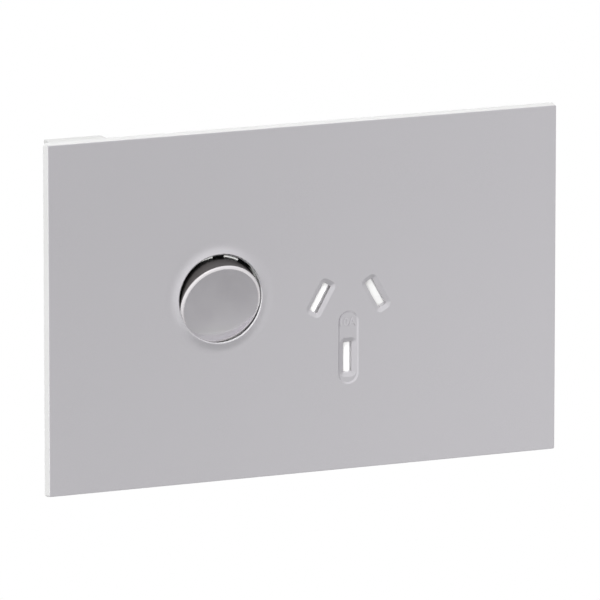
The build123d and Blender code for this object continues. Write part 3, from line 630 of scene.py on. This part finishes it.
def build_world():
    """White to the camera; what metal shows grades from white, up and left, to grey, down and right."""
    level, fall_right, rise_up = 0.924, -0.265, 0.408
    darkest = 0.42
    world = bpy.data.worlds.new("studio")
    bpy.context.scene.world = world
    world.use_nodes = True
    tree = world.node_tree
    tree.nodes.clear()

    def number(operation, first, second, third=0.0):
        node = tree.nodes.new("ShaderNodeMath")
        node.operation = operation
        for socket, value in zip(node.inputs, (first, second, third)):
            if isinstance(value, float):
                socket.default_value = value
            else:
                tree.links.new(value, socket)
        return node.outputs[0]

    direction = tree.nodes.new("ShaderNodeSeparateXYZ")
    tree.links.new(tree.nodes.new("ShaderNodeTexCoord").outputs["Generated"], direction.inputs[0])
    graded = number("MULTIPLY_ADD", direction.outputs["X"], fall_right, level)
    graded = number("MULTIPLY_ADD", direction.outputs["Z"], rise_up, graded)
    graded = number("MINIMUM", number("MAXIMUM", graded, darkest), 1.0)
    path = tree.nodes.new("ShaderNodeLightPath").outputs
    mirrored = number("MAXIMUM", path["Is Glossy Ray"], path["Is Transmission Ray"])
    seen = number("MAXIMUM", mirrored, path["Is Camera Ray"])
    ambient = tree.nodes.new("ShaderNodeBackground")
    ambient.inputs["Strength"].default_value = AMBIENT
    ambient.inputs["Color"].default_value = (1, 1, 1, 1)
    shown = tree.nodes.new("ShaderNodeBackground")
    shown.inputs["Color"].default_value = (1, 1, 1, 1)
    tree.links.new(number("MAXIMUM", graded, path["Is Camera Ray"]), shown.inputs["Strength"])
    mix = tree.nodes.new("ShaderNodeMixShader")
    tree.links.new(seen, mix.inputs[0])
    tree.links.new(ambient.outputs[0], mix.inputs[1])
    tree.links.new(shown.outputs[0], mix.inputs[2])
    output = tree.nodes.new("ShaderNodeOutputWorld")
    tree.links.new(mix.outputs[0], output.inputs["Surface"])


def build_lamp(name, azimuth, elevation, distance, size, level):
    """Square soft lamp that faces the outlet. At level 1 a white card square to it renders white."""
    turn, rise = math.radians(azimuth), math.radians(elevation)
    toward = Vector((math.sin(turn) * math.cos(rise), -math.cos(turn) * math.cos(rise), math.sin(rise)))
    lamp = bpy.data.lights.new(name, "AREA")
    lamp.shape = "SQUARE"
    lamp.size = size
    lamp.energy = level * (math.pi * distance) ** 2
    holder = bpy.data.objects.new(name, lamp)
    holder.location = toward * distance
    holder.rotation_mode = "QUATERNION"
    holder.rotation_quaternion = (-toward).to_track_quat("-Z", "Y")
    holder.visible_camera = False
    holder.visible_glossy = False
    bpy.context.scene.collection.objects.link(holder)


def build_camera():
    """Long lens at the place from which the plate has the photographed outline."""
    east, height = CAMERA_AZIMUTH, CAMERA_ELEVATION
    back = Vector((-math.sin(east) * math.cos(height), -math.cos(east) * math.cos(height), math.sin(height)))
    right = Vector((math.cos(east), -math.sin(east), 0))
    up = back.cross(right)
    data = bpy.data.cameras.new("camera")
    data.lens = CAMERA_LENS
    data.sensor_width = SENSOR
    data.clip_start = 0.1
    data.clip_end = 20
    camera = bpy.data.objects.new("camera", data)
    centre = Vector((0, PLATE_FRONT, 0))
    camera.location = centre + back * CAMERA_DISTANCE + right * CAMERA_ASIDE + up * CAMERA_ABOVE
    camera.rotation_mode = "QUATERNION"
    camera.rotation_quaternion = (-back).to_track_quat("-Z", "Y")
    bpy.context.scene.collection.objects.link(camera)
    bpy.context.scene.camera = camera


build_floor()
# One card close to the plate, so that its silver grades across, and one below for the tilted rocker
build_card(
    "softbox", place=(0.09, -0.2, -0.045), turn=90, half_size=(0.16, 0.12), soft_edge=0.055, glow=slope_glow,
)
build_card(
    "grey_card", place=(0.12, -0.27, -0.24), turn=0, half_size=(0.24, 0.19), soft_edge=0.07, glow=step_glow,
)
build_world()
build_lamp("key_lamp", azimuth=-20, elevation=37, distance=2.2, size=1.2, level=0.6)
build_lamp("fill_lamp", azimuth=-24, elevation=11, distance=2.4, size=0.6, level=0.7)
build_lamp("rim_lamp", azimuth=-100, elevation=35, distance=1.6, size=0.8, level=0.1)
build_lamp("back_lamp", azimuth=148, elevation=24, distance=1.6, size=0.8, level=0.56)
build_camera()
bpy.context.scene.view_settings.view_transform = "Standard"
